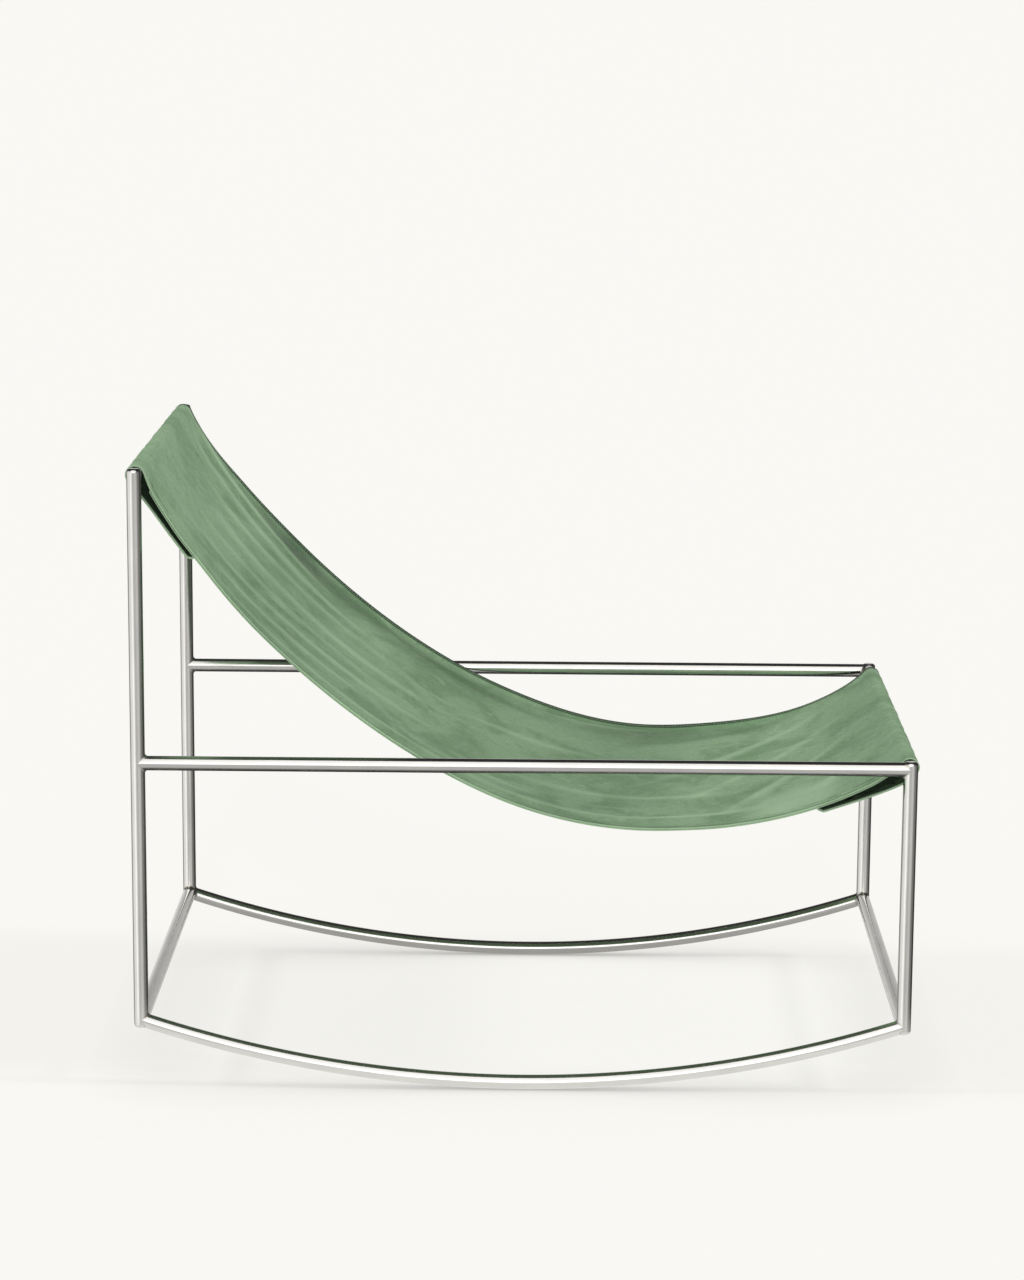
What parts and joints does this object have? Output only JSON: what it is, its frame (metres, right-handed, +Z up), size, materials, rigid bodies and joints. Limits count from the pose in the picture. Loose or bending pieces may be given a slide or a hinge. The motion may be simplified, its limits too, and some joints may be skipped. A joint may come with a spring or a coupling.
{
  "type": "rocking lounge chair",
  "caption": "Rocking lounge chair: a welded frame of round steel tube on curved rocker tubes, with a leather sling seat hung between a high rear bar and a low front bar.",
  "frame": {"origin": "on the floor at the middle of the chair's length and width, below the lowest point of the rockers", "axes": "+X points to the front of the chair (the low end of the sling), +Y to the sitter's left, +Z up"},
  "size_m": [0.968, 0.6202, 0.7772],
  "materials": {
    "frame_steel": "satin",
    "weld_steel": "satin",
    "sling_leather": "satin",
    "sewing_thread": "matte"
  },
  "bodies": {
    "root": {"arm_front_weld_left": "weld_steel", "arm_front_weld_right": "weld_steel", "arm_rail_left": "frame_steel", "arm_rail_right": "frame_steel", "arm_rear_weld_left": "weld_steel", "arm_rear_weld_right": "weld_steel", "edge_strip_left": "sling_leather", "edge_strip_right": "sling_leather", "edge_thread_left": "sewing_thread", "edge_thread_right": "sewing_thread", "front_bar_weld_left": "weld_steel", "front_bar_weld_right": "weld_steel", "front_post_foot_cap_left": "frame_steel", "front_post_foot_cap_right": "frame_steel", "front_post_left": "frame_steel", "front_post_right": "frame_steel", "front_post_top_cap_left": "frame_steel", "front_post_top_cap_right": "frame_steel", "front_seam_thread": "sewing_thread", "front_sling_bar": "frame_steel", "front_stretcher": "frame_steel", "front_stretcher_weld_left": "weld_steel", "front_stretcher_weld_right": "weld_steel", "rear_bar_weld_left": "weld_steel", "rear_bar_weld_right": "weld_steel", "rear_post_foot_cap_left": "frame_steel", "rear_post_foot_cap_right": "frame_steel", "rear_post_left": "frame_steel", "rear_post_right": "frame_steel", "rear_post_top_cap_left": "frame_steel", "rear_post_top_cap_right": "frame_steel", "rear_seam_thread": "sewing_thread", "rear_sling_bar": "frame_steel", "rear_stretcher": "frame_steel", "rear_stretcher_weld_left": "weld_steel", "rear_stretcher_weld_right": "weld_steel", "rocker_front_weld_left": "weld_steel", "rocker_front_weld_right": "weld_steel", "rocker_left": "frame_steel", "rocker_rear_weld_left": "weld_steel", "rocker_rear_weld_right": "weld_steel", "rocker_right": "frame_steel", "seat_sling": "sling_leather"}
  },
  "joints": []
}
